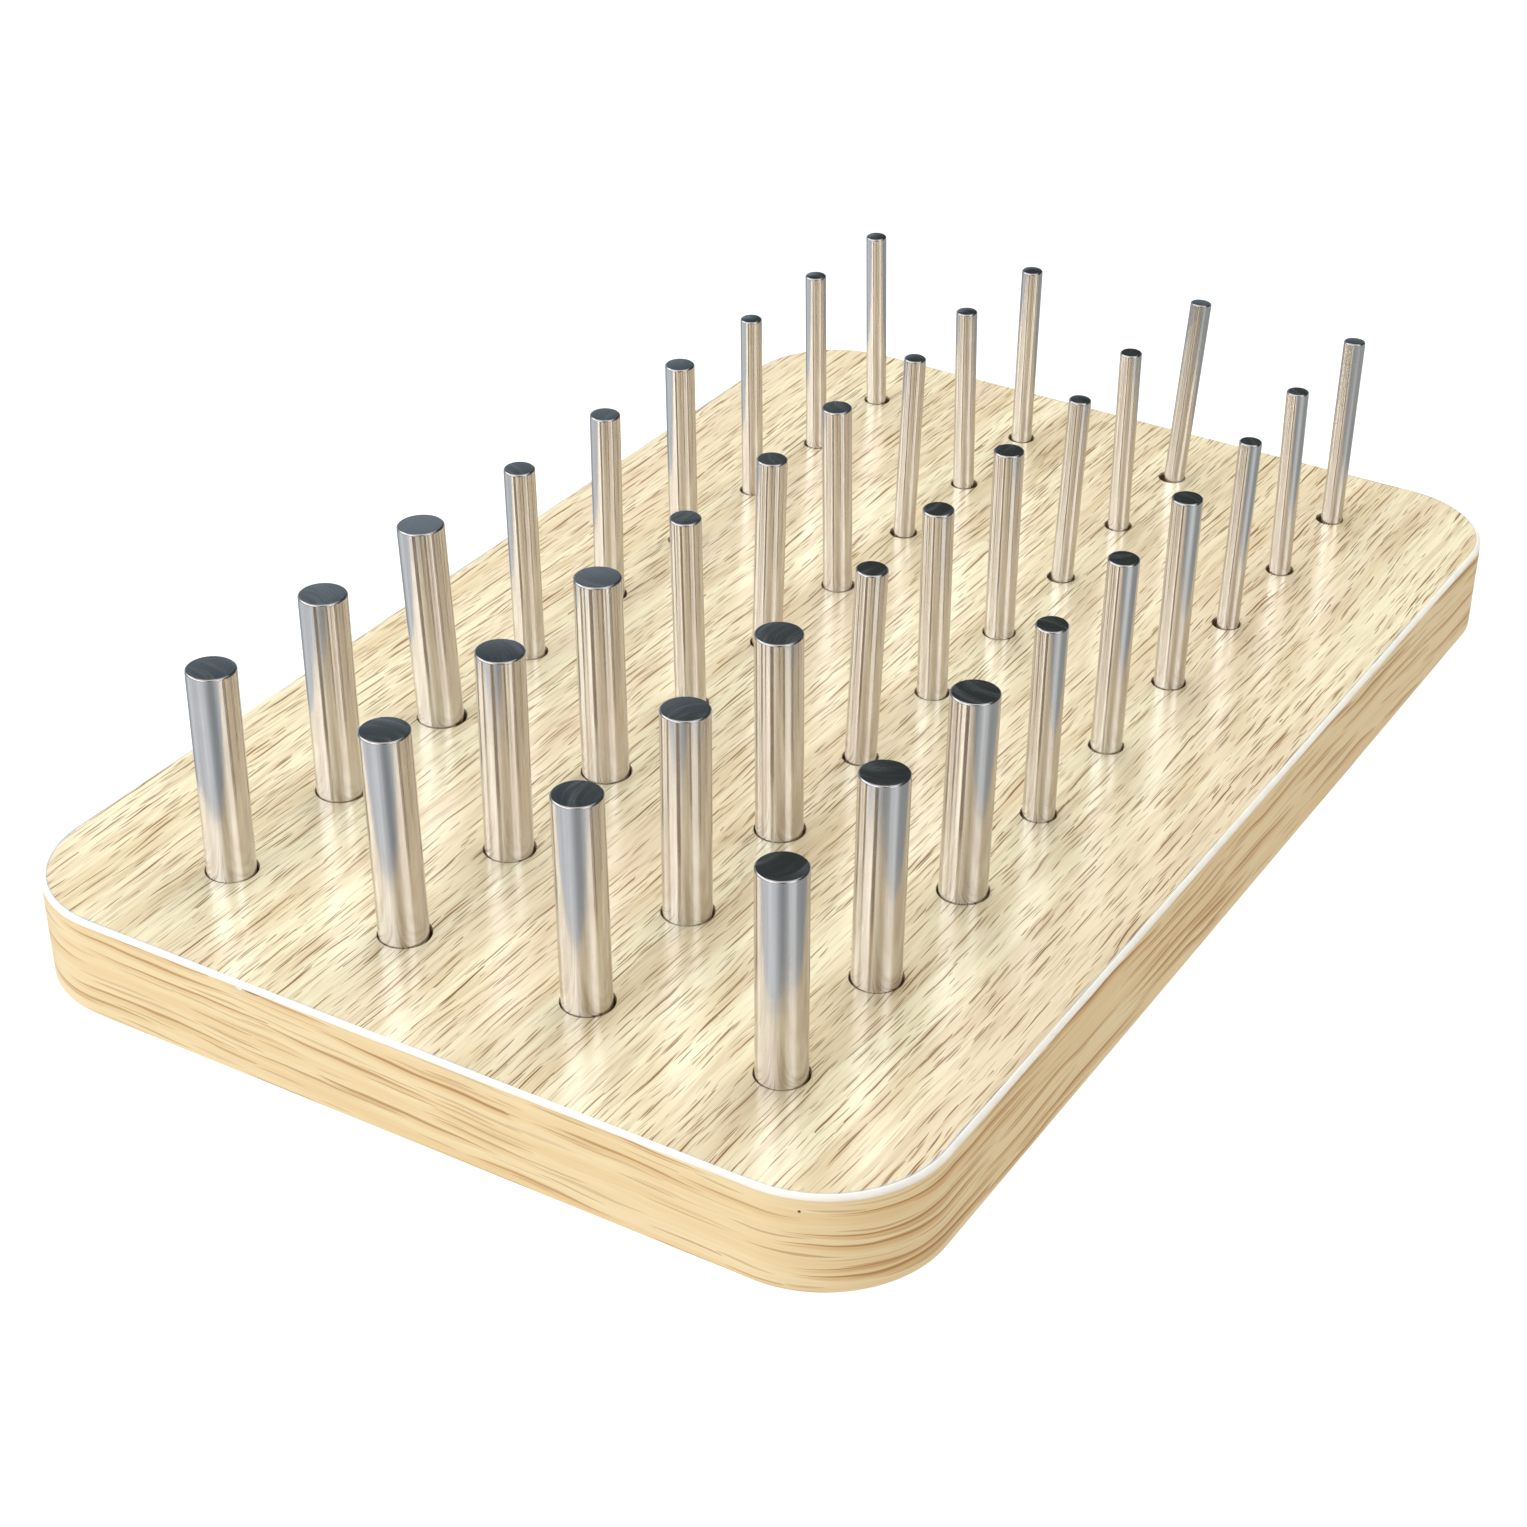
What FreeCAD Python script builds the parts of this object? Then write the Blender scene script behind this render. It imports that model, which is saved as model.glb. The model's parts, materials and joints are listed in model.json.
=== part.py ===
import FreeCAD, Part
import math
import os

# Finger-dexterity peg board: an oak-look laminated panel with loose steel pegs standing in blind holes.
# Millimetres. The origin is the centre of the footprint, on the underside. +X runs across the columns,
# from a to d, +Y runs along the rows, from the large pegs to the small ones, and +Z is up.

# Panel
BOARD_WIDTH = 237.5
BOARD_LENGTH = 372.0
CORNER_RADIUS = 30.0
CORE_THICKNESS = 25.0
LAMINATE_THICKNESS = 0.8

# Edge band: a strip round the panel, bevelled where it was trimmed flush with both faces
BAND_THICKNESS = 1.2
BAND_LAND = 0.1
BAND_BEVEL_DROP = 0.95
BAND_SEAM_GAP = 0.15

# Grid of holes
COLUMNS = "abcd"
COLUMN_PITCH = 50.0
FRONT_MARGIN = 35.0
ROW_PITCHES = [41.0, 41.0, 39.0, 37.5, 37.5, 37.0, 36.5, 36.5]
HOLE_DEPTH = 16.5
BORE_OVERRUN = 5.0

# Pegs: every one has the same length, and three rows share each diameter
PEG_LENGTH = 70.0
PEG_CHAMFER = 0.4
PEG_SIZES = [("large", 11.7, 12.5), ("medium", 8.0, 9.0), ("small", 6.0, 7.7)]
ROWS_PER_SIZE = 3
FLOOR_CLEARANCE = 0.05

# How each hole and its peg lean: degrees tipped towards +X and +Y, for columns a to d of a row
LEANS = [
    [(0.0, 1.0), (-1.0, 0.0), (-1.0, 0.5), (0.0, -0.5)],
    [(-0.5, 0.5), (0.0, 0.5), (-0.5, 1.0), (0.0, 1.0)],
    [(-2.5, 0.0), (-1.0, 0.5), (-0.5, 0.0), (0.5, 0.5)],
    [(0.0, -1.0), (0.0, -1.5), (2.0, 0.0), (1.0, -1.5)],
    [(0.5, -0.5), (1.0, 0.5), (0.5, -1.5), (1.0, -0.5)],
    [(0.0, -1.0), (-0.5, -1.5), (0.0, 0.0), (0.5, 0.0)],
    [(0.0, -1.0), (1.5, 0.5), (1.5, 1.0), (0.5, 2.0)],
    [(-0.5, -1.0), (-1.5, 0.0), (0.0, -0.5), (-1.0, 1.0)],
    [(-0.5, -2.0), (0.5, 0.0), (1.5, 5.5), (-1.0, 4.0)],
]

# Where each loose peg has settled in its hole: off centre towards the front right, turned a little by its own
# lean, by this share of the radial clearance
SETTLE_X = 0.5
SETTLE_Y = -0.87
SETTLE_PER_DEGREE = 0.2
SETTLE_SHARE = 0.8

# Derived levels and outlines
CORE_BOTTOM = LAMINATE_THICKNESS
CORE_TOP = CORE_BOTTOM + CORE_THICKNESS
BOARD_TOP = CORE_TOP + LAMINATE_THICKNESS
PANEL_WIDTH = BOARD_WIDTH - 2 * BAND_THICKNESS
PANEL_LENGTH = BOARD_LENGTH - 2 * BAND_THICKNESS
PANEL_RADIUS = CORNER_RADIUS - BAND_THICKNESS

UP = FreeCAD.Vector(0, 0, 1)


def vec(x, y, z):
    return FreeCAD.Vector(x, y, z)


def panel_slab(bottom, thickness):
    """A sheet with the panel's outline: a rectangle with round corners, inside the edge band."""
    slab = Part.makeBox(PANEL_WIDTH, PANEL_LENGTH, thickness, vec(-PANEL_WIDTH / 2, -PANEL_LENGTH / 2, bottom))
    corners = [edge for edge in slab.Edges if abs(edge.tangentAt(edge.FirstParameter).z) > 0.5]
    return slab.makeFillet(PANEL_RADIUS, corners)


def hole_grid():
    """Every hole as (name, x, y, peg diameter, hole diameter, lean)."""
    holes = []
    y = -BOARD_LENGTH / 2 + FRONT_MARGIN
    for row in range(len(LEANS)):
        size, peg_diameter, hole_diameter = PEG_SIZES[row // ROWS_PER_SIZE]
        for column, letter in enumerate(COLUMNS):
            x = (column - (len(COLUMNS) - 1) / 2) * COLUMN_PITCH
            name = f"peg_{size}_{letter}{row + 1}"
            holes.append((name, x, y, peg_diameter, hole_diameter, LEANS[row][column]))
        if row < len(ROW_PITCHES):
            y += ROW_PITCHES[row]
    return holes


def lean_axis(lean):
    """Direction of a hole and its peg."""
    return vec(math.tan(math.radians(lean[0])), math.tan(math.radians(lean[1])), 1).normalize()


def drill(slab, holes):
    """Cut the holes into a sheet. Each one is centred on its place in the grid at the board's top face."""
    bores = []
    for _, x, y, _, hole_diameter, lean in holes:
        axis = lean_axis(lean)
        floor = vec(x, y, BOARD_TOP) - axis * HOLE_DEPTH
        bores.append(Part.makeCylinder(hole_diameter / 2, HOLE_DEPTH + BORE_OVERRUN, floor, axis))
    return slab.cut(Part.makeCompound(bores)).Solids[0]


def band_section(x):
    """Cross-section of the edge band in the XZ plane, with its outer face at x."""
    inner = x - BAND_THICKNESS
    land = inner + BAND_LAND
    corners = [
        (inner, 0.0),
        (land, 0.0),
        (x, BAND_BEVEL_DROP),
        (x, BOARD_TOP - BAND_BEVEL_DROP),
        (land, BOARD_TOP),
        (inner, BOARD_TOP),
    ]
    points = [vec(px, 0, pz) for px, pz in corners]
    return Part.Face(Part.makePolygon(points + points[:1]))


def edge_band():
    """The band: straight runs and quarter-turn corners, open at a butt seam half way along the -X side."""
    half_x = BOARD_WIDTH / 2
    half_y = BOARD_LENGTH / 2
    run_x = BOARD_WIDTH - 2 * CORNER_RADIUS
    run_y = BOARD_LENGTH - 2 * CORNER_RADIUS
    seam_run = (run_y - BAND_SEAM_GAP) / 2
    # Each entry is the direction that a side faces, in degrees from +X, its distance from the centre,
    # and where its straight run starts and how long it is, measured counter-clockwise along the side.
    sides = [
        (0, half_x, -run_y / 2, run_y),
        (90, half_y, -run_x / 2, run_x),
        (180, half_x, -run_y / 2, seam_run),
        (180, half_x, BAND_SEAM_GAP / 2, seam_run),
        (270, half_y, -run_x / 2, run_x),
    ]
    pieces = []
    for angle, distance, start, run in sides:
        section = band_section(distance)
        section.translate(vec(0, start, 0))
        straight = section.extrude(vec(0, run, 0))
        straight.rotate(vec(0, 0, 0), UP, angle)
        pieces.append(straight)
    for side, (sign_x, sign_y) in enumerate([(1, 1), (-1, 1), (-1, -1), (1, -1)]):
        section = band_section(CORNER_RADIUS)
        corner = section.revolve(vec(0, 0, 0), UP, 90)
        corner.rotate(vec(0, 0, 0), UP, side * 90)
        corner.translate(vec(sign_x * (half_x - CORNER_RADIUS), sign_y * (half_y - CORNER_RADIUS), 0))
        pieces.append(corner)
    return pieces[0].multiFuse(pieces[1:]).removeSplitter().Solids[0]


def peg(x, y, diameter, hole_diameter, lean):
    """A rod with chamfered ends, standing on the floor of its leaning hole and settled towards one side."""
    radius = diameter / 2
    end_radius = radius - PEG_CHAMFER
    profile = [
        (0.0, 0.0),
        (end_radius, 0.0),
        (radius, PEG_CHAMFER),
        (radius, PEG_LENGTH - PEG_CHAMFER),
        (end_radius, PEG_LENGTH),
        (0.0, PEG_LENGTH),
    ]
    points = [vec(px, 0, pz) for px, pz in profile]
    rod = Part.Face(Part.makePolygon(points + points[:1])).revolve(vec(0, 0, 0), UP, 360)
    axis = lean_axis(lean)
    side = vec(SETTLE_X + SETTLE_PER_DEGREE * lean[0], SETTLE_Y + SETTLE_PER_DEGREE * lean[1], 0)
    side = (side - axis * side.dot(axis)).normalize()
    settle = side * (SETTLE_SHARE * (hole_diameter - diameter) / 2)
    foot = vec(x, y, BOARD_TOP) + settle - axis * (HOLE_DEPTH - FLOOR_CLEARANCE)
    rod.Placement = FreeCAD.Placement(foot, FreeCAD.Rotation(UP, axis))
    return rod


def build():
    holes = hole_grid()
    nodes = {
        "board_core": drill(panel_slab(CORE_BOTTOM, CORE_THICKNESS), holes),
        "top_laminate": drill(panel_slab(CORE_TOP, LAMINATE_THICKNESS), holes),
        "bottom_laminate": panel_slab(0.0, LAMINATE_THICKNESS),
        "edge_band": edge_band(),
    }
    for name, x, y, peg_diameter, hole_diameter, lean in holes:
        nodes[name] = peg(x, y, peg_diameter, hole_diameter, lean)
    return nodes


os.makedirs("parts", exist_ok=True)
for node, shape in build().items():
    shape.exportStep(f"parts/{node}.step")
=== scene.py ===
import json
import math
import random

import bmesh
import bpy
from mathutils import Matrix, Vector, noise


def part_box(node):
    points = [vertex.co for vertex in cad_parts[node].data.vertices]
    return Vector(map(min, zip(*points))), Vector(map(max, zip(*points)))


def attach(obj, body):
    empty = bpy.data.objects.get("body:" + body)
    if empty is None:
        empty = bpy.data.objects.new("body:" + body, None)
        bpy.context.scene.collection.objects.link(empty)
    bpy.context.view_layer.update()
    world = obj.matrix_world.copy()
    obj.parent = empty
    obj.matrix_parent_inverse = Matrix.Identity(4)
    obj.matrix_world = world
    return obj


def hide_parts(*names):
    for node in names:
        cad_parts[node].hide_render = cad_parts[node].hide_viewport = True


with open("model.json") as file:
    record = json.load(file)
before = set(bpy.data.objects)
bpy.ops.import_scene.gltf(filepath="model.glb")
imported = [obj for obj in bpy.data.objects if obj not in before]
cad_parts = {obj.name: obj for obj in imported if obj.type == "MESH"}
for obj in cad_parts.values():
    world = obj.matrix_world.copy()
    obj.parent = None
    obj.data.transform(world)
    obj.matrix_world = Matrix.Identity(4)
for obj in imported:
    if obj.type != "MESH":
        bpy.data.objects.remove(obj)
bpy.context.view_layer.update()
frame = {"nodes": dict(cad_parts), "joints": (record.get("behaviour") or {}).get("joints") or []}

# Everything is in metres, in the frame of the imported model: +X across the columns of pegs, +Y along the rows
# from the thick pegs to the thin ones, +Z up, with the table at z = 0.

MM = 0.001

# Sizes that the frame's boxes don't give
CORNER_RADIUS = 30 * MM
SEAM_GAP = 0.15 * MM

# The strip's trimmed bevel, and how far the trimmer wandered
BEVEL_INSET = 1.1 * MM
BEVEL_DROP = 0.95 * MM
BEVEL_EASE = 0.12
INSET_WANDER = 0.12 * MM
DROP_WANDER = 0.10 * MM
WANDERS_PER_METRE = 45.0
WIDEST_INSET_SHARE = 0.93

# Eased edges, and the flat margin beside each that keeps the shading crisp
HOLE_EASE = 0.12 * MM
HOLE_EASE_STEPS = 4
PEG_CHAMFER = 0.32 * MM
PEG_EASE_SHARE = 0.18
SUPPORT = 0.08 * MM

# Height of the crown on a rod's end face, in millimetres. Most are nearly flat, and some of the small
# rods are domed. A foot is always nearly flat, because it stands just above the floor of its hole
FLAT_CROWN = (0.01, 0.05)
DOMED_CROWN = (0.12, 0.22)
DOMED_SHARE = 0.4
FOOT_CROWN = 0.02
# Greatest depth of the dip round an end face, in millimetres, and its width as a share of the radius
DEEPEST_LIP = 0.02
LIP_WIDTH = 0.05
# Radii of the rings of an end face, as shares of the radius of its flat
END_RINGS = (0.96, 0.85, 0.65, 0.4, 0.15)

# Segments in a quarter corner, along a straight run of the strip, round a hole and round a rod
ARC_STEPS = 40
RUN_STEPS = 60
HOLE_STEPS = 96
PEG_STEPS = 112

# Edges that turn by more than this are shaded as sharp
SHARP_ANGLE = math.radians(35)

scene = bpy.context.scene
randomness = random.Random(36)


# ---------------------------------------------------------------- small helpers for shader nodes

class Nodes:
    """Adds nodes to one shader tree. Every input is either a plain value or another node's socket."""

    def __init__(self, tree):
        self.tree = tree
        tree.nodes.clear()

    def add(self, kind, settings=None, inputs=None):
        node = self.tree.nodes.new("ShaderNode" + kind)
        for name, value in (settings or {}).items():
            setattr(node, name, value)
        for name, value in (inputs or {}).items():
            self.wire(node.inputs[name], value)
        return node

    def wire(self, socket, value):
        if isinstance(value, bpy.types.NodeSocket):
            self.tree.links.new(value, socket)
        elif isinstance(value, tuple) and len(value) == 3 and len(socket.default_value) == 4:
            socket.default_value = (*value, 1.0)
        else:
            socket.default_value = value

    def math(self, operation, a, b=0.0, c=0.0):
        node = self.add("Math", {"operation": operation})
        for socket, value in zip(node.inputs, (a, b, c)):
            self.wire(socket, value)
        return node.outputs[0]

    def length(self, x, y):
        return self.math("SQRT", self.math("MULTIPLY_ADD", x, x, self.math("MULTIPLY", y, y)))

    def remap(self, value, low, high, to_low=0.0, to_high=1.0, smooth=False):
        kind = "SMOOTHSTEP" if smooth else "LINEAR"
        node = self.add("MapRange", {"interpolation_type": kind, "clamp": True})
        for socket, number in zip(node.inputs, (value, low, high, to_low, to_high)):
            self.wire(socket, number)
        return node.outputs[0]

    def mix(self, factor, a, b, blend="MIX"):
        node = self.add("Mix", {"data_type": "RGBA", "blend_type": blend, "clamp_factor": True})
        self.wire(node.inputs["Factor"], factor)
        self.wire(node.inputs[6], a)
        self.wire(node.inputs[7], b)
        return node.outputs[2]

    def both(self, kind, first, second):
        """A node that combines two shaders."""
        node = self.add(kind)
        self.tree.links.new(first.outputs[0], node.inputs[0])
        self.tree.links.new(second.outputs[0], node.inputs[1])
        return node

    def join(self, x, y, z=0.0):
        return self.add("CombineXYZ", inputs={"X": x, "Y": y, "Z": z}).outputs[0]

    def split(self, vector):
        return self.add("SeparateXYZ", inputs={"Vector": vector}).outputs

    def noise(self, vector, scale=1.0, detail=2.0, roughness=0.5):
        inputs = {"Vector": vector, "Scale": scale, "Detail": detail, "Roughness": roughness}
        return self.add("TexNoise", {"noise_dimensions": "3D"}, inputs).outputs["Fac"]

    def position(self):
        """The point on the piece in the piece's own space."""
        return self.add("TexCoord").outputs["Object"]


def new_material(name):
    material = bpy.data.materials.new(name)
    material.use_nodes = True
    return material, Nodes(material.node_tree)


def finish_surface(nodes, settings, height=None, bump_distance=0.0, bump_strength=1.0):
    """Principled shader with the sockets given, and a bump of that many metres when there is a height."""
    if height is not None:
        relief = {"Strength": bump_strength, "Distance": bump_distance, "Height": height}
        bump = nodes.add("Bump", inputs=relief)
        settings = dict(settings, Normal=bump.outputs[0])
    shader = nodes.add("BsdfPrincipled", inputs=settings)
    output = nodes.add("OutputMaterial")
    nodes.tree.links.new(shader.outputs[0], output.inputs["Surface"])


# ---------------------------------------------------------------- wood prints

def strokes(nodes, across, along, cell, size, share, seed, slant=0.0, soft=0.65):
    """Mask of thin strokes that taper at both ends, at most one in each cell of a stretched, jittered grid.

    cell and size are (across, along) in metres, share is how many cells hold a stroke, and slant is the
    steepest tilt of a stroke away from the grain. soft is where the fade starts, as a share of the width."""
    cell_across, cell_along = cell
    half_width, half_length = size
    where = nodes.join(
        nodes.math("DIVIDE", across, cell_across),
        nodes.math("MULTIPLY_ADD", along, 1 / cell_along, seed),
    )
    cells = nodes.add(
        "TexVoronoi",
        {"voronoi_dimensions": "2D", "feature": "F1"},
        {"Vector": where, "Scale": 1.0, "Randomness": 1.0},
    )
    offset = nodes.add("VectorMath", {"operation": "SUBTRACT"})
    nodes.wire(offset.inputs[0], where)
    nodes.wire(offset.inputs[1], cells.outputs["Position"])
    step_across, step_along, _ = nodes.split(offset.outputs[0])
    chance, stretch, weight = nodes.split(cells.outputs["Color"])
    tilt = nodes.remap(weight, 0.0, 1.0, -slant * cell_along / cell_across, slant * cell_along / cell_across)
    step_across = nodes.math("MULTIPLY_ADD", step_along, tilt, step_across)
    reach = nodes.remap(stretch, 0.0, 1.0, 0.35 * half_length / cell_along, half_length / cell_along)
    along_share = nodes.math("DIVIDE", nodes.math("ABSOLUTE", step_along), reach)
    taper = nodes.math("MAXIMUM", nodes.math("SUBTRACT", 1.0, nodes.math("POWER", along_share, 2.0)), 0.0)
    widest = nodes.remap(weight, 0.0, 1.0, 0.5 * half_width / cell_across, half_width / cell_across)
    width = nodes.math("MAXIMUM", nodes.math("MULTIPLY", widest, taper), 1e-5)
    across_share = nodes.math("DIVIDE", nodes.math("ABSOLUTE", step_across), width)
    body = nodes.remap(across_share, soft, 1.0, 1.0, 0.0, smooth=True)
    present = nodes.math("LESS_THAN", chance, share)
    strength = nodes.remap(stretch, 0.0, 1.0, 0.6, 1.0)
    return nodes.math("MULTIPLY", nodes.math("MULTIPLY", body, present), strength)


def stretched(nodes, across, along, scale, seed, detail=2.0):
    """Noise drawn out along the grain. scale is (across, along) in features per metre."""
    u = nodes.math("MULTIPLY", across, scale[0])
    v = nodes.math("MULTIPLY", along, scale[1])
    return nodes.noise(nodes.join(u, v, seed), detail=detail)


def wavy(nodes, across, along, amount, scale, seed):
    """The across coordinate, pushed sideways by slow waves along the grain."""
    slow = stretched(nodes, across, along, scale, seed)
    return nodes.math("MULTIPLY_ADD", nodes.math("SUBTRACT", slow, 0.5), amount, across)


def border(nodes, x, y, half_x, half_y, radius):
    """Distance outside a rectangle with round corners. It is negative inside."""
    over_x = nodes.math("SUBTRACT", nodes.math("ABSOLUTE", x), half_x - radius)
    over_y = nodes.math("SUBTRACT", nodes.math("ABSOLUTE", y), half_y - radius)
    out_x = nodes.math("MAXIMUM", over_x, 0.0)
    out_y = nodes.math("MAXIMUM", over_y, 0.0)
    corner = nodes.length(out_x, out_y)
    inside = nodes.math("MINIMUM", nodes.math("MAXIMUM", over_x, over_y), 0.0)
    return nodes.math("SUBTRACT", nodes.math("ADD", corner, inside), radius)


def oak_laminate_material(half_x, half_y, radius):
    """Pale oak print with short dark pores along +Y, under a semi-gloss face."""
    material, nodes = new_material("oak_laminate_print")
    x, y, _ = nodes.split(nodes.position())
    across = wavy(nodes, x, y, 8 * MM, (20.0, 7.0), 3.1)
    across = wavy(nodes, across, y, 1.8 * MM, (120.0, 45.0), 7.7)

    # Slow bands of lighter and darker wood, and a second set that turns the tone towards pink
    bands = stretched(nodes, across, y, (85.0, 5.0), 0.0, detail=3.0)
    blush = stretched(nodes, across, y, (48.0, 6.0), 5.0)
    cream, tan, pink = (0.90, 0.83, 0.585), (0.78, 0.66, 0.43), (0.80, 0.665, 0.475)
    colour = nodes.mix(nodes.remap(bands, 0.42, 0.66, 0.0, 1.0, smooth=True), cream, tan)
    colour = nodes.mix(nodes.remap(blush, 0.47, 0.66, 0.0, 0.7, smooth=True), colour, pink)

    # Fine fibre, and soft streaks a millimetre or two wide
    fibre = stretched(nodes, across, y, (1500.0, 75.0), 1.0, detail=3.0)
    streaks = stretched(nodes, across, y, (520.0, 22.0), 9.0, detail=4.0)
    fibre_brown, streak_brown = (0.52, 0.38, 0.22), (0.60, 0.455, 0.27)
    colour = nodes.mix(nodes.remap(fibre, 0.35, 0.75, 0.0, 0.14), colour, fibre_brown)
    colour = nodes.mix(nodes.remap(streaks, 0.46, 0.68, 0.0, 0.60), colour, streak_brown)

    # Pores: long ones with a brown shade round them, short ones and faint ones, crowded in places
    clusters = stretched(nodes, across, y, (70.0, 14.0), 21.0, detail=3.0)
    crowding = nodes.remap(clusters, 0.38, 0.58, 0.35, 0.95)
    long_cell, short_cell, faint_cell = (2.6 * MM, 20 * MM), (1.9 * MM, 10 * MM), (1.3 * MM, 12 * MM)
    long_pores = strokes(nodes, across, y, long_cell, (0.28 * MM, 11 * MM), crowding, 0.0, slant=0.025)
    shade = strokes(nodes, across, y, long_cell, (0.95 * MM, 12 * MM), crowding, 0.0, slant=0.025, soft=0.1)
    short_pores = strokes(nodes, across, y, short_cell, (0.24 * MM, 5.0 * MM), crowding, 40.3, slant=0.04)
    faint_pores = strokes(nodes, across, y, faint_cell, (0.26 * MM, 6.5 * MM), 0.8, 81.9, slant=0.03)
    dark = nodes.math("MAXIMUM", long_pores, nodes.math("MULTIPLY", short_pores, 0.9))
    dark = nodes.math("MAXIMUM", dark, nodes.math("MULTIPLY", faint_pores, 0.35))
    shade_brown, pore_brown = (0.56, 0.38, 0.19), (0.215, 0.115, 0.045)
    colour = nodes.mix(nodes.math("MULTIPLY", shade, 0.44), colour, shade_brown)
    colour = nodes.mix(dark, colour, pore_brown)

    # Ragged cool line where the face meets the edge strip
    outside = border(nodes, x, y, half_x, half_y, radius)
    ragged = nodes.math("MULTIPLY_ADD", stretched(nodes, x, y, (700.0, 700.0), 2.0), 0.9 * MM, outside)
    patchy = nodes.remap(stretched(nodes, x, y, (30.0, 30.0), 6.0), 0.40, 0.62, 0.15, 1.0)
    seam = nodes.math("MULTIPLY", nodes.remap(ragged, -0.15 * MM, 0.20 * MM, 0.0, 0.85), patchy)
    seam_grey = (0.42, 0.50, 0.58)
    colour = nodes.mix(seam, colour, seam_grey)

    gloss = nodes.remap(fibre, 0.3, 0.8, 0.20, 0.28)
    height = nodes.math("SUBTRACT", nodes.math("MULTIPLY", fibre, 0.15), dark)
    settings = {"Base Color": colour, "Roughness": gloss, "Specular IOR Level": 0.58}
    finish_surface(nodes, settings, height, bump_distance=0.03 * MM, bump_strength=0.6)
    return material


# Marks on the edge strip, one of them a painted shadow line: (distance from the seam, height), (half width,
# half height), colour
SPECK = ((391.1 * MM, 22.5 * MM), (0.40 * MM, 0.40 * MM), (0.16, 0.08, 0.04))
# Painted shadow: a short dark line under the trimmed edge, beside the nick
SHADOW_LINE = ((251.2 * MM, 25.3 * MM), (2.6 * MM, 0.22 * MM), (0.30, 0.15, 0.07))
NICK = ((247.6 * MM, 25.5 * MM), (1.0 * MM, 0.75 * MM), (0.92, 0.90, 0.86))
MARKS = [SPECK, SHADOW_LINE, NICK]
# Stretch of the strip over which its print turns bolder and darker, partly as painted shade for the right-hand
# side, as distances from the seam
BOLD_FROM, BOLD_TO = 375 * MM, 425 * MM


def spot(nodes, along, up, centre, size):
    """Mask of one oval spot."""
    over = nodes.math("DIVIDE", nodes.math("SUBTRACT", along, centre[0]), size[0])
    rise = nodes.math("DIVIDE", nodes.math("SUBTRACT", up, centre[1]), size[1])
    reach = nodes.math("MULTIPLY_ADD", over, over, nodes.math("MULTIPLY", rise, rise))
    return nodes.remap(reach, 0.5, 1.0, 1.0, 0.0, smooth=True)


def band_print_material():
    """Warmer oak print of the edge strip: long grain lines that run round the board."""
    material, nodes = new_material("edge_band_print")
    along, up, _ = nodes.split(nodes.add("Attribute", {"attribute_name": "band_place"}).outputs["Vector"])
    slanted = nodes.math("MULTIPLY_ADD", along, 0.03, up)
    level = wavy(nodes, slanted, along, 9 * MM, (25.0, 5.0), 11.3)
    level = wavy(nodes, level, along, 3.0 * MM, (120.0, 30.0), 2.9)

    bands = stretched(nodes, level, along, (170.0, 5.0), 0.0, detail=3.0)
    light, deep = (0.99, 0.815, 0.50), (0.93, 0.71, 0.39)
    colour = nodes.mix(nodes.remap(bands, 0.4, 0.68, 0.0, 1.0, smooth=True), light, deep)

    fibre = stretched(nodes, level, along, (1600.0, 60.0), 4.0, detail=3.0)
    fibre_brown = (0.62, 0.40, 0.19)
    colour = nodes.mix(nodes.remap(fibre, 0.35, 0.75, 0.0, 0.2), colour, fibre_brown)

    # Long lines with a brown shade below them, short ones and faint ones
    long_cell, short_cell, faint_cell = (4.4 * MM, 62 * MM), (3.2 * MM, 24 * MM), (2.6 * MM, 40 * MM)
    long_size, shade_size = (0.72 * MM, 38 * MM), (1.9 * MM, 38 * MM)
    long_lines = strokes(nodes, level, along, long_cell, long_size, 0.95, 0.0, slant=0.008, soft=0.1)
    below = nodes.math("ADD", level, 0.6 * MM)
    shade = strokes(nodes, below, along, long_cell, shade_size, 0.95, 0.0, slant=0.008, soft=0.1)
    short_lines = strokes(nodes, level, along, short_cell, (0.40 * MM, 12 * MM), 0.55, 17.7, slant=0.02)
    faint_lines = strokes(nodes, level, along, faint_cell, (0.50 * MM, 22 * MM), 0.6, 53.1)
    dark = nodes.math("MAXIMUM", long_lines, nodes.math("MULTIPLY", short_lines, 0.6))
    dark = nodes.math("MAXIMUM", dark, nodes.math("MULTIPLY", faint_lines, 0.4))
    # The print is bolder past the front right corner: partly more contrast in the print, partly painted shade
    # that darkens the right-hand side
    shade = nodes.math("MULTIPLY", shade, nodes.remap(along, BOLD_FROM, BOLD_TO, 0.40, 0.82))
    inked = nodes.math("MULTIPLY", dark, nodes.remap(along, BOLD_FROM, BOLD_TO, 0.92, 1.0))
    shade_brown, line_brown = (0.74, 0.45, 0.16), (0.45, 0.235, 0.075)
    colour = nodes.mix(shade, colour, shade_brown)
    colour = nodes.mix(inked, colour, line_brown)

    # A speck, a nick under the trimmed edge, and beside it a short dark line of painted shadow under that edge
    for place, size, tone in MARKS:
        colour = nodes.mix(spot(nodes, along, up, place, size), colour, tone)

    height = nodes.math("SUBTRACT", nodes.math("MULTIPLY", fibre, 0.2), dark)
    gloss = nodes.remap(fibre, 0.3, 0.8, 0.38, 0.5)
    settings = {"Base Color": colour, "Roughness": gloss, "Specular IOR Level": 0.4}
    finish_surface(nodes, settings, height, bump_distance=0.03 * MM, bump_strength=0.6)
    return material


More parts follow.
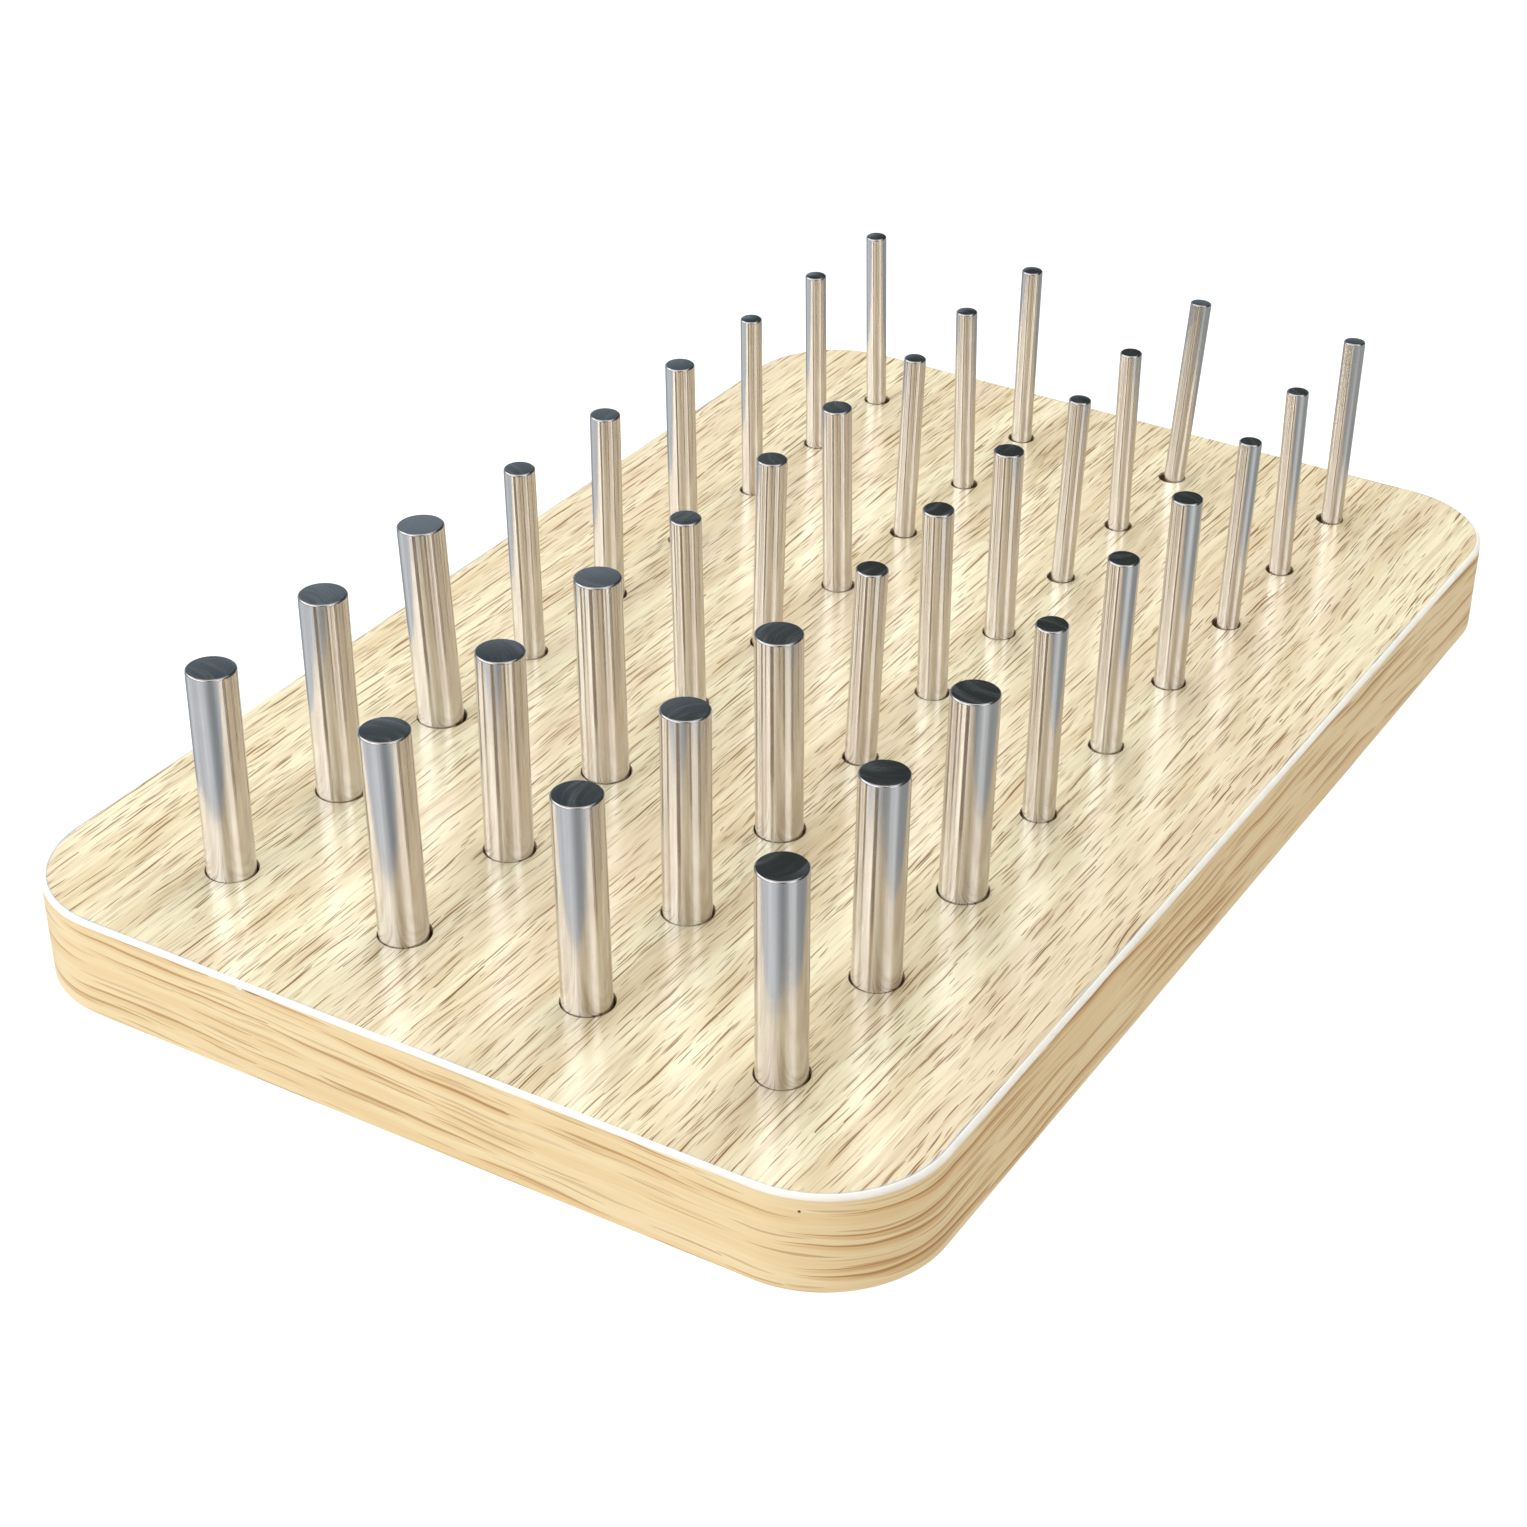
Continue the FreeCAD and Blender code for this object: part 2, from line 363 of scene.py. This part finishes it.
def band_plastic_material():
    """The strip's own white plastic, bared by the trimming cutter."""
    material, nodes = new_material("edge_band_plastic")
    place = nodes.position()
    cloud = nodes.noise(place, scale=220.0, detail=3.0)
    along, _, _ = nodes.split(nodes.add("Attribute", {"attribute_name": "band_place"}).outputs["Vector"])
    scrape = nodes.noise(nodes.join(along, 0.0, 0.0), scale=900.0, detail=2.0)
    colour = nodes.mix(nodes.remap(cloud, 0.35, 0.7), (0.97, 0.96, 0.90), (0.90, 0.89, 0.83))
    settings = {"Base Color": colour, "Roughness": nodes.remap(scrape, 0.3, 0.7, 0.4, 0.6)}
    finish_surface(nodes, settings, scrape, bump_distance=0.02 * MM, bump_strength=0.5)
    return material


def core_material():
    """Raw wood-fibre panel, seen only inside the holes."""
    material, nodes = new_material("panel_core_fibre")
    place = nodes.position()
    clumps = nodes.noise(place, scale=900.0, detail=4.0, roughness=0.6)
    dust = nodes.noise(place, scale=3200.0, detail=2.0)
    colour = nodes.mix(nodes.remap(clumps, 0.35, 0.7), (0.36, 0.23, 0.13), (0.20, 0.12, 0.065))
    colour = nodes.mix(nodes.remap(dust, 0.5, 0.7, 0.0, 0.35), colour, (0.50, 0.36, 0.22))
    finish_surface(nodes, {"Base Color": colour, "Roughness": 0.85}, clumps, bump_distance=0.12 * MM)
    return material


# ---------------------------------------------------------------- steel

def peg_side_material():
    """Ground and polished rod. It mirrors sharply across and smears what it mirrors along its length."""
    material, nodes = new_material("peg_steel_side")
    place = nodes.position()
    x, y, z = nodes.split(place)
    drawn = nodes.noise(nodes.join(x, y, nodes.math("MULTIPLY", z, 0.015)), scale=1500.0, detail=2.0)
    smears = nodes.noise(place, scale=160.0, detail=3.0)
    roughness = nodes.remap(smears, 0.35, 0.75, 0.11, 0.16)
    colour = nodes.mix(nodes.remap(drawn, 0.3, 0.7), (0.60, 0.56, 0.535), (0.52, 0.485, 0.46))
    tangent = nodes.add("Tangent", {"direction_type": "RADIAL", "axis": "Z"}).outputs[0]
    settings = {
        "Base Color": colour,
        "Metallic": 1.0,
        "Roughness": roughness,
        "Anisotropic": 1.0,
        "Anisotropic Rotation": 0.25,
        "Tangent": tangent,
    }
    finish_surface(nodes, settings, drawn, bump_distance=0.001 * MM, bump_strength=0.5)
    return material


def peg_end_material():
    """Ground end face: darker than the rod, with a sweep of grinding lines."""
    material, nodes = new_material("peg_steel_end")
    place = nodes.position()
    x, y, _ = nodes.split(place)
    chance = nodes.add("ObjectInfo").outputs["Random"]
    turn = nodes.add("VectorRotate", {"rotation_type": "Z_AXIS"}, {"Vector": nodes.join(x, y)})
    nodes.wire(turn.inputs["Angle"], nodes.remap(chance, 0.0, 1.0, -0.9, 0.9))
    u, v, _ = nodes.split(turn.outputs[0])
    bent = nodes.math("MULTIPLY_ADD", nodes.math("MULTIPLY", u, u), 45.0, v)
    shift = nodes.math("MULTIPLY", chance, 37.0)
    lines = stretched(nodes, u, bent, (120.0, 1900.0), shift, detail=4.0)
    sweep = stretched(nodes, u, bent, (60.0, 420.0), shift)
    broad = nodes.remap(sweep, 0.4, 0.7, 0.16, 0.26, smooth=True)
    roughness = nodes.math("ADD", broad, nodes.remap(lines, 0.4, 0.8, 0.0, 0.08))
    colour = nodes.mix(nodes.remap(sweep, 0.45, 0.75, smooth=True), (0.45, 0.47, 0.465), (0.60, 0.62, 0.63))
    settings = {"Base Color": colour, "Metallic": 1.0, "Roughness": roughness}
    finish_surface(nodes, settings, lines, bump_distance=0.004 * MM, bump_strength=0.5)
    return material


# ---------------------------------------------------------------- meshes

def make_piece(name, mesh_data, materials, body, node):
    """Turns a bmesh into a piece that stands for one CAD node and rides on its body."""
    mesh = bpy.data.meshes.new(name)
    bmesh.ops.recalc_face_normals(mesh_data, faces=mesh_data.faces)
    mesh_data.to_mesh(mesh)
    mesh_data.free()
    mesh.shade_smooth()
    mesh.set_sharp_from_angle(angle=SHARP_ANGLE)
    for material in materials:
        mesh.materials.append(material)
    piece = bpy.data.objects.new(name, mesh)
    scene.collection.objects.link(piece)
    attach(piece, body)
    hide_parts(node)
    return piece


def outline(half_x, half_y, radius, arc_steps, run_steps=1):
    """Points of a rectangle with round corners, counter-clockwise from the middle of its -X side."""
    points = []
    corners = [(-1, -1), (1, -1), (1, 1), (-1, 1)]
    for index, (sign_x, sign_y) in enumerate(corners):
        centre = Vector((sign_x * (half_x - radius), sign_y * (half_y - radius)))
        start = math.pi + index * math.pi / 2
        for step in range(arc_steps + 1):
            angle = start + step / arc_steps * math.pi / 2
            points.append(centre + radius * Vector((math.cos(angle), math.sin(angle))))
    middle = Vector((-half_x, 0.0))
    corner_ends = [middle] + points + [middle.copy()]
    route = []
    for here, there in zip(corner_ends, corner_ends[1:]):
        straight = (there - here).length > 2 * radius * math.pi / 2 / arc_steps
        steps = run_steps if straight else 1
        for step in range(steps):
            route.append(here.lerp(there, step / steps))
    return route


def ring(mesh, points, z):
    """A closed loop of vertices at one height."""
    return [mesh.verts.new((p[0], p[1], z)) for p in points]


def bridge(mesh, lower, upper, material=0):
    """Quads between two closed loops that have the same number of vertices."""
    count = len(lower)
    for i in range(count):
        j = (i + 1) % count
        mesh.faces.new((lower[i], lower[j], upper[j], upper[i])).material_index = material


def circle(centre, radius, steps):
    """Points round a circle, counter-clockwise."""
    angles = [2 * math.pi * i / steps for i in range(steps)]
    return [(centre[0] + radius * math.cos(a), centre[1] + radius * math.sin(a)) for a in angles]


def fill(mesh, loops):
    """Triangles over the area inside the first loop and outside the others."""
    edges = []
    for loop in loops:
        count = len(loop)
        for i in range(count):
            a, b = loop[i], loop[(i + 1) % count]
            edges.append(mesh.edges.get((a, b)) or mesh.edges.new((a, b)))
    bmesh.ops.triangle_fill(mesh, edges=edges, use_beauty=True, use_dissolve=False)


def sheet_mesh(low, high, radius, holes):
    """A flat sheet with round corners and round holes whose upper rims are eased."""
    mesh = bmesh.new()
    half_x, half_y = (high.x - low.x) / 2, (high.y - low.y) / 2
    edge = outline(half_x, half_y, radius, ARC_STEPS)
    bottom_loops = [ring(mesh, edge, low.z)]
    top_loops = [ring(mesh, edge, high.z)]
    bridge(mesh, bottom_loops[0], top_loops[0])
    for centre, hole_radius in holes:
        levels = [ring(mesh, circle(centre, hole_radius, HOLE_STEPS), low.z)]
        for step in range(HOLE_EASE_STEPS):
            angle = step / (HOLE_EASE_STEPS - 1) * math.pi / 2
            ease_radius = hole_radius + HOLE_EASE * (1 - math.cos(angle))
            ease_height = high.z - HOLE_EASE * (1 - math.sin(angle))
            levels.append(ring(mesh, circle(centre, ease_radius, HOLE_STEPS), ease_height))
        levels.append(ring(mesh, circle(centre, hole_radius + HOLE_EASE + SUPPORT, HOLE_STEPS), high.z))
        for lower, upper in zip(levels, levels[1:]):
            bridge(mesh, lower, upper)
        bottom_loops.append(levels[0])
        top_loops.append(levels[-1])
    fill(mesh, bottom_loops)
    fill(mesh, top_loops)
    return mesh


def band_mesh(low, high, thickness):
    """The edge strip, swept round the board, with a slightly uneven trimmed bevel at its top and bottom."""
    mesh = bmesh.new()
    place = mesh.verts.layers.float_vector.new("band_place")
    half_x, half_y = (high.x - low.x) / 2, (high.y - low.y) / 2
    outer = outline(half_x, half_y, CORNER_RADIUS, ARC_STEPS, run_steps=RUN_STEPS)
    # The strip starts and ends at the seam, half way along the -X side
    start = Vector((-half_x, -SEAM_GAP / 2))
    end = Vector((-half_x, SEAM_GAP / 2))
    path = [start] + outer[1:] + [end]
    sections = []
    travelled = 0.0
    for index, point in enumerate(path):
        before = path[max(index - 1, 0)]
        after = path[min(index + 1, len(path) - 1)]
        if index in (0, len(path) - 1):
            direction = Vector((0.0, -1.0))
        else:
            direction = (after - before).normalized()
        inward = Vector((-direction.y, direction.x))
        travelled += (point - before).length
        sections.append(band_section(mesh, place, point, inward, low.z, high.z, thickness, travelled))
    count = len(sections[0])
    plastic_faces = band_plastic_faces(count)
    for here, there in zip(sections, sections[1:]):
        for i in range(count):
            j = (i + 1) % count
            face = mesh.faces.new((here[i], there[i], there[j], here[j]))
            face.material_index = 1 if i in plastic_faces else 0
    for cap in (sections[0], list(reversed(sections[-1]))):
        mesh.faces.new(cap).material_index = 1
    return mesh


def band_section(mesh, place, point, inward, bottom, top, thickness, travelled):
    """One cross-section of the strip. It goes down the outer face and up the back."""
    def wander(seed, amount):
        return amount * noise.noise(Vector((travelled * WANDERS_PER_METRE, seed, 0.0)))

    widest = thickness * WIDEST_INSET_SHARE
    upper_inset = min(BEVEL_INSET + wander(2.0, INSET_WANDER), widest)
    lower_inset = min(BEVEL_INSET + wander(3.0, INSET_WANDER), widest)
    profile = [(thickness, top)]
    profile += bevel_profile(upper_inset, BEVEL_DROP + wander(1.0, DROP_WANDER), top, -1)
    profile += reversed(bevel_profile(lower_inset, BEVEL_DROP + wander(4.0, DROP_WANDER), bottom, 1))
    profile.append((thickness, bottom))
    vertices = []
    for depth, z in profile:
        here = point + inward * depth
        vertex = mesh.verts.new((here.x, here.y, z))
        vertex[place] = Vector((travelled, z, depth))
        vertices.append(vertex)
    return vertices


def bevel_profile(inset, drop, edge, direction):
    """(depth, height) points over the bevel, from the flat face to the outer face. Both corners are eased."""
    ease = BEVEL_EASE
    return [
        (inset * (1 + ease / 2), edge),
        (inset * (1 - ease), edge + direction * drop * ease * 0.6),
        (inset * ease, edge + direction * drop * (1 - ease)),
        (0.0, edge + direction * drop * (1 + ease)),
        (0.0, edge + direction * (drop * (1 + ease) + SUPPORT)),
    ]


def band_plastic_faces(count):
    """Which sides of the cross-section show bare plastic: the two bevels, their lands and the back."""
    top_side = [0, 1, 2, 3]
    bottom_side = [7, 8, 9, 10]
    back = [count - 1]
    return set(top_side + bottom_side + back)


def peg_mesh(radius, length, dome, lip):
    """A rod along Z, centred on the origin: chamfered ends, slightly crowned faces and eased edges."""
    mesh = bmesh.new()
    half = length / 2
    ease = PEG_CHAMFER * PEG_EASE_SHARE
    flat = radius - PEG_CHAMFER
    rings = [
        (flat - ease, half),
        (flat + ease * 0.5, half - ease * 0.4),
        (radius - ease * 0.5, half - PEG_CHAMFER + ease * 0.6),
        (radius, half - PEG_CHAMFER - ease),
        (radius, half - PEG_CHAMFER - ease - SUPPORT),
    ]
    profile = rings + [(r, -z) for r, z in reversed(rings)]
    loops = [ring(mesh, circle((0, 0), r, PEG_STEPS), z) for r, z in profile]
    for index, (upper, lower) in enumerate(zip(loops, loops[1:])):
        bridge(mesh, lower, upper, material=1 if index in (0, len(loops) - 2) else 0)
    for sign, outer, crown in ((1, loops[0], dome), (-1, loops[-1], min(dome, FOOT_CROWN * MM))):
        for share in END_RINGS:
            reach = (flat - ease) * share
            dip = lip * math.exp(-((1 - share) / LIP_WIDTH) ** 2)
            height = sign * (half + crown * (1 - share * share) - dip)
            inner = ring(mesh, circle((0, 0), reach, PEG_STEPS), height)
            bridge(mesh, inner, outer, material=1)
            outer = inner
        centre = mesh.verts.new((0, 0, sign * (half + crown)))
        for i in range(PEG_STEPS):
            mesh.faces.new((outer[i], outer[(i + 1) % PEG_STEPS], centre)).material_index = 1
    return mesh


# ---------------------------------------------------------------- reading the frame

def peg_axes():
    """The axis that each peg slides along, by the name of its body."""
    return {joint["child"]: Vector(joint["axis"]).normalized() for joint in frame["joints"]}


def measure_peg(node, axis):
    """Centre, radius and length of a peg, from its CAD mesh."""
    low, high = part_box(node)
    centre = (low + high) / 2
    steps = [vertex.co - centre for vertex in frame["nodes"][node].data.vertices]
    along = [step.dot(axis) for step in steps]
    radius = max((step - axis * reach).length for step, reach in zip(steps, along))
    return centre, radius, max(along) - min(along)


def measure_hole(centre, axis, top):
    """Centre and radius of the hole that a peg stands in, from the rim in the CAD laminate."""
    at_top = centre + axis * ((top - centre.z) / axis.z)
    search = 9 * MM
    rim = set()
    for vertex in frame["nodes"]["top_laminate"].data.vertices:
        point = vertex.co
        if abs(point.z - top) < 0.01 * MM and math.hypot(point.x - at_top.x, point.y - at_top.y) < search:
            rim.add((round(point.x, 7), round(point.y, 7)))
    middle_x = sum(p[0] for p in rim) / len(rim)
    middle_y = sum(p[1] for p in rim) / len(rim)
    radius = max(math.hypot(p[0] - middle_x, p[1] - middle_y) for p in rim)
    return (middle_x, middle_y), radius


# ---------------------------------------------------------------- the object

band_print = band_print_material()
band_plastic = band_plastic_material()
peg_side = peg_side_material()
peg_end = peg_end_material()

axes = peg_axes()
pegs = {name: measure_peg(name, axis) for name, axis in axes.items()}
top_low, top_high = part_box("top_laminate")
band_low, band_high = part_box("edge_band")
bottom_low, bottom_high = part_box("bottom_laminate")
band_thickness = top_low.x - band_low.x
sheet_radius = CORNER_RADIUS - band_thickness
oak = oak_laminate_material(top_high.x, top_high.y, sheet_radius)

holes = [measure_hole(centre, axes[name], top_high.z) for name, (centre, _, _) in pegs.items()]
face_sheet = sheet_mesh(top_low, top_high, sheet_radius, holes)
make_piece("laminate_face", face_sheet, [oak], "board", "top_laminate")
back_sheet = sheet_mesh(bottom_low, bottom_high, sheet_radius, [])
make_piece("laminate_back", back_sheet, [oak], "board", "bottom_laminate")
edge_strip = band_mesh(band_low, band_high, band_thickness)
make_piece("edge_strip", edge_strip, [band_print, band_plastic], "board", "edge_band")
core = frame["nodes"]["board_core"]
core.data.materials.clear()
core.data.materials.append(core_material())

for name, (centre, radius, length) in pegs.items():
    crown = randomness.uniform(*FLAT_CROWN) * MM
    if "small" in name and randomness.random() < DOMED_SHARE:
        crown = randomness.uniform(*DOMED_CROWN) * MM
    lip = randomness.uniform(0.0, DEEPEST_LIP) * MM
    mesh = peg_mesh(radius, length, crown, lip)
    spin = Matrix.Rotation(randomness.uniform(0.0, 2 * math.pi), 4, "Z")
    tilt = Vector((0, 0, 1)).rotation_difference(axes[name]).to_matrix().to_4x4()
    piece_name = name.replace("peg_", "rod_")
    piece = make_piece(piece_name, mesh, [peg_side, peg_end], name, name)
    piece.matrix_world = Matrix.Translation(centre) @ tilt @ spin
    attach(piece, name)


# ---------------------------------------------------------------- stage, light and camera

# The camera, in metres, degrees and millimetres of lens
CAMERA_PLACE = (0.3317, -0.5826, 0.4141)
CAMERA_TURN = 28.6
CAMERA_DOWN = 34.9
CAMERA_ROLL = 1.71
CAMERA_LENS = 69.8
CAMERA_SHIFT = (-0.0723, 0.1103)


def make_camera():
    data = bpy.data.cameras.new("camera")
    data.sensor_width = 36.0
    data.lens = CAMERA_LENS
    data.shift_x, data.shift_y = CAMERA_SHIFT
    data.clip_start = 0.02
    data.clip_end = 50.0
    camera = bpy.data.objects.new("camera", data)
    scene.collection.objects.link(camera)
    turn = Matrix.Rotation(math.radians(CAMERA_TURN), 4, "Z")
    tip = Matrix.Rotation(math.radians(90 - CAMERA_DOWN), 4, "X")
    roll = Matrix.Rotation(math.radians(CAMERA_ROLL), 4, "Z")
    camera.matrix_world = Matrix.Translation(CAMERA_PLACE) @ turn @ tip @ roll
    scene.camera = camera


# Soft lights: (name, azimuth and elevation in degrees, size in metres, radiance).
# Azimuth 0 is the -Y side, and positive goes towards +X
LIGHTS = [
    ("window", -26, 33, (1.0, 0.8), 3.25),
    ("side_window", -68, 30, (0.6, 0.7), 1.5),
    ("ceiling", 200, 74, (1.2, 1.2), 5.14),
]
LIGHT_DISTANCE = 1.6


def make_light(name, azimuth, elevation, size, radiance):
    """A soft rectangular light that faces the board, and that only diffuse surfaces see."""
    data = bpy.data.lights.new(name, "AREA")
    data.shape = "RECTANGLE"
    data.size, data.size_y = size
    data.energy = radiance * math.pi * size[0] * size[1]
    light = bpy.data.objects.new(name, data)
    a, e = math.radians(azimuth), math.radians(elevation)
    back = Vector((math.sin(a) * math.cos(e), -math.cos(a) * math.cos(e), math.sin(e)))
    light.location = back * LIGHT_DISTANCE
    light.rotation_mode = "QUATERNION"
    light.rotation_quaternion = back.to_track_quat("Z", "Y")
    light.visible_camera = False
    light.visible_glossy = False
    scene.collection.objects.link(light)


WHITE = (1.0, 1.0, 1.0)

# Brightness of the studio wall on the camera's side, as steel mirrors it: (azimuth in degrees, radiance)
NEAR_WALL = [
    (-120, 3.0), (-104, 4.6), (-80, 10.0), (-55, 8.0), (-38, 8.5), (-15, 11.0), (0, 8.5), (12, 4.5),
    (22, 1.3), (30, 0.1), (40, 0.1), (50, 2.2), (60, 6.0), (72, 9.0), (84, 8.0), (96, 4.5), (108, 1.5),
    (120, 0.1), (160, 0.1),
]
WALL_ENDS = (0.1, 0.1, 0.1, 1.0)
# Share of that brightness at the first mirroring, so that the board's face doesn't glare from the far side
FIRST_MIRROR = 0.25


def near_wall_glow(nodes, x, y, z, glossy_depth):
    """Soft boxes to the left and right of the camera, and dark behind it."""
    azimuth = nodes.math("ARCTAN2", x, nodes.math("MULTIPLY", y, -1.0))
    place = nodes.remap(azimuth, -math.pi, math.pi)
    ramp = nodes.add("ValToRGB", inputs={"Fac": place})
    brightest = max(radiance for _, radiance in NEAR_WALL)
    stops = ramp.color_ramp.elements
    stops[0].position, stops[1].position = 0.0, 1.0
    stops[0].color = stops[1].color = WALL_ENDS
    for degrees, radiance in NEAR_WALL:
        level = radiance / brightest
        stops.new((degrees + 180) / 360).color = (level, level, level, 1.0)
    above = nodes.remap(z, 0.22, 0.40, 0.02, 1.0)
    below = nodes.remap(z, 0.70, 0.82, 1.0, 0.04)
    first = nodes.math("LESS_THAN", glossy_depth, 1.5)
    peak = nodes.remap(first, 0.0, 1.0, brightest, brightest * FIRST_MIRROR)
    green = nodes.math("MULTIPLY", nodes.math("MULTIPLY", above, below), peak)
    cool = nodes.join(nodes.math("MULTIPLY", green, 0.94), green, nodes.math("MULTIPLY", green, 1.07))
    return nodes.mix(1.0, ramp.outputs["Color"], cool, blend="MULTIPLY")


def make_world():
    """A plain studio. It is white to the camera, soft for diffuse light, and has walls for polished steel."""
    world = bpy.data.worlds.new("studio")
    world.use_nodes = True
    scene.world = world
    nodes = Nodes(world.node_tree)
    x, y, z = nodes.split(nodes.add("TexCoord").outputs["Generated"])
    paths = nodes.add("LightPath").outputs

    # What steel mirrors: soft boxes on the near wall, a dark far wall that pales towards -X and the horizon,
    # and a white ceiling
    flat = nodes.math("MAXIMUM", nodes.length(x, y), 1e-4)
    facing = nodes.math("DIVIDE", y, flat)
    side = nodes.math("DIVIDE", x, flat)
    far = nodes.remap(facing, -0.1, 0.45, 0.0, 1.0, smooth=True)
    to_left = nodes.remap(side, -0.46, -0.58, 0.0, 1.0, smooth=True)
    low_down = nodes.remap(z, 0.50, 0.40, 0.0, 1.0, smooth=True)
    horizon = nodes.remap(z, 0.32, 0.22, 0.0, 0.6, smooth=True)
    pale = nodes.math("MAXIMUM", nodes.math("MULTIPLY", to_left, low_down), horizon)
    far_wall = nodes.mix(pale, (0.055, 0.062, 0.060), (0.36, 0.42, 0.50))
    walls = nodes.mix(far, near_wall_glow(nodes, x, y, z, paths["Glossy Depth"]), far_wall)
    mirrored = nodes.mix(nodes.remap(z, 0.76, 0.84, 0.0, 1.0, smooth=True), walls, WHITE)

    # What lights the wood: even and slightly warm
    low = nodes.mix(nodes.remap(x, -0.3, 0.8), (0.72, 0.70, 0.68), (0.54, 0.425, 0.30))
    soft = nodes.mix(nodes.remap(z, 0.0, 0.6), low, (0.30, 0.30, 0.305))
    around = nodes.mix(paths["Is Glossy Ray"], soft, mirrored)
    colour = nodes.mix(paths["Is Camera Ray"], around, WHITE)
    background = nodes.add("Background", inputs={"Color": colour, "Strength": 1.0})
    output = nodes.add("OutputWorld")
    nodes.tree.links.new(background.outputs[0], output.inputs["Surface"])


FLOOR_REACH = 12.0
FLOOR_GAP = 0.02 * MM


def make_floor():
    """A plain pale floor. Steel mirrors it as a cool grey table, and it throws light up at the edges."""
    material, nodes = new_material("floor_white")
    paths = nodes.add("LightPath").outputs
    x, y, _ = nodes.split(nodes.position())
    matte = nodes.add("BsdfDiffuse", inputs={"Color": (0.30, 0.30, 0.30)})
    glow = nodes.add("Emission", inputs={"Color": (0.86, 0.86, 0.86), "Strength": 1.0})
    seen = nodes.both("AddShader", matte, glow)
    rightward = nodes.math("MULTIPLY_ADD", y, 0.5, nodes.math("MULTIPLY", x, 0.85))
    left_grey, right_grey = (0.36, 0.415, 0.46), (0.43, 0.48, 0.49)
    table = nodes.mix(nodes.remap(rightward, -0.15, 0.30, smooth=True), left_grey, right_grey)
    # Far from the board, light and dark sectors give lifted rods something to mirror at low views
    sectors = nodes.math("SINE", nodes.math("MULTIPLY", nodes.math("ARCTAN2", x, y), 3.0))
    dark_sector, light_sector = (0.12, 0.13, 0.14), (1.30, 1.36, 1.42)
    distant = nodes.mix(nodes.remap(sectors, -0.7, 0.7, smooth=True), dark_sector, light_sector)
    table = nodes.mix(nodes.remap(nodes.length(x, y), 0.42, 0.65, smooth=True), table, distant)
    thrown = nodes.mix(nodes.remap(x, 0.08, 0.30), (1.0, 0.97, 0.92), (0.95, 0.84, 0.67))
    bounce = nodes.mix(paths["Is Glossy Ray"], thrown, table)
    lit = nodes.add("Emission", inputs={"Color": bounce, "Strength": 1.0})
    sheen = nodes.add("BsdfGlossy", inputs={"Color": (0.065, 0.065, 0.065), "Roughness": 0.12})
    choice = nodes.add("MixShader", inputs={"Fac": paths["Is Camera Ray"]})
    nodes.tree.links.new(nodes.both("AddShader", lit, sheen).outputs[0], choice.inputs[1])
    nodes.tree.links.new(seen.outputs[0], choice.inputs[2])
    output = nodes.add("OutputMaterial")
    nodes.tree.links.new(choice.outputs[0], output.inputs["Surface"])
    mesh = bpy.data.meshes.new("floor")
    corners = [(-1, -1), (1, -1), (1, 1), (-1, 1)]
    mesh.from_pydata([(i * FLOOR_REACH, j * FLOOR_REACH, 0) for i, j in corners], [], [(0, 1, 2, 3)])
    mesh.materials.append(material)
    floor = bpy.data.objects.new("floor", mesh)
    floor.location.z = -FLOOR_GAP
    scene.collection.objects.link(floor)


make_camera()
make_world()
make_floor()
for light in LIGHTS:
    make_light(*light)
scene.view_settings.view_transform = "Standard"
scene.view_settings.look = "None"
